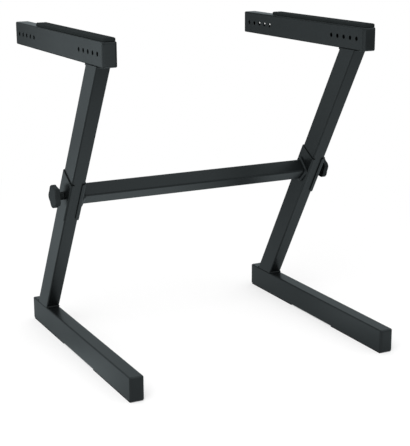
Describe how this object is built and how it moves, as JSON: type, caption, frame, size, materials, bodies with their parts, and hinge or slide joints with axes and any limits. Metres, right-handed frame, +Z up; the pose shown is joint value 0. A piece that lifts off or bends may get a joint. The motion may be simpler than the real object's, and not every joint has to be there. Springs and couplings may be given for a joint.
{
  "type": "keyboard stand",
  "caption": "Z-shaped stand of black rectangular tube that carries an electronic keyboard on two padded arms, with a crossbar clamped between its side frames.",
  "frame": {"origin": "on the floor, in the middle of the stand's width and depth", "axes": "+X to the right, +Y away from the front, where the legs lean to, +Z up"},
  "size_m": [0.698, 0.6414, 0.722],
  "materials": {
    "powder_coat": "semi-gloss black powder coat with a fine orange peel",
    "black_plastic": "moulded black plastic, finely textured",
    "black_rubber": "dense black rubber, finely grained",
    "zinc_steel": "bright zinc-plated steel"
  },
  "bodies": {
    "stand_frame": {"crossbar_tube": "powder_coat", "left_foot_tube": "powder_coat", "left_foot_front_cap": "black_plastic", "left_foot_rear_cap": "black_plastic", "left_front_ground_strip": "black_rubber", "left_rear_ground_strip": "black_rubber", "left_leg_tube": "powder_coat", "left_arm_tube": "powder_coat", "left_arm_front_cap": "black_plastic", "left_arm_rear_cap": "black_plastic", "left_arm_pad": "black_rubber", "left_clamp_inner_half": "powder_coat", "left_clamp_nut": "zinc_steel", "right_foot_tube": "powder_coat", "right_foot_front_cap": "black_plastic", "right_foot_rear_cap": "black_plastic", "right_front_ground_strip": "black_rubber", "right_rear_ground_strip": "black_rubber", "right_leg_tube": "powder_coat", "right_arm_tube": "powder_coat", "right_arm_front_cap": "black_plastic", "right_arm_rear_cap": "black_plastic", "right_arm_pad": "black_rubber", "right_clamp_inner_half": "powder_coat", "right_clamp_nut": "zinc_steel"},
    "left_clamp": {"left_clamp_outer_half": "powder_coat"},
    "left_knob": {"left_knob_head": "black_plastic", "left_knob_bolt": "zinc_steel"},
    "right_clamp": {"right_clamp_outer_half": "powder_coat"},
    "right_knob": {"right_knob_head": "black_plastic", "right_knob_bolt": "zinc_steel"}
  },
  "joints": [
    {"name": "left_clamp_slide", "type": "slide", "parent": "stand_frame", "child": "left_clamp", "axis": [-1, 0, 0], "range_m": [0, 0.00625]},
    {"name": "left_knob_turn", "type": "hinge", "parent": "left_clamp", "child": "left_knob", "pos_m": [-0.32205, 0.02675, 0.359], "axis": [-1, 0, 0], "range_deg": [0, 1800]},
    {"name": "right_clamp_slide", "type": "slide", "parent": "stand_frame", "child": "right_clamp", "axis": [1, 0, 0], "range_m": [0, 0.00625]},
    {"name": "right_knob_turn", "type": "hinge", "parent": "right_clamp", "child": "right_knob", "pos_m": [0.32205, 0.02675, 0.359], "axis": [1, 0, 0], "range_deg": [0, 1800]}
  ],
  "couplings": [
    {"joint": "left_knob_turn", "follows": "left_clamp_slide", "rad_per_m": 5026.5},
    {"joint": "right_knob_turn", "follows": "right_clamp_slide", "rad_per_m": 5026.5}
  ]
}
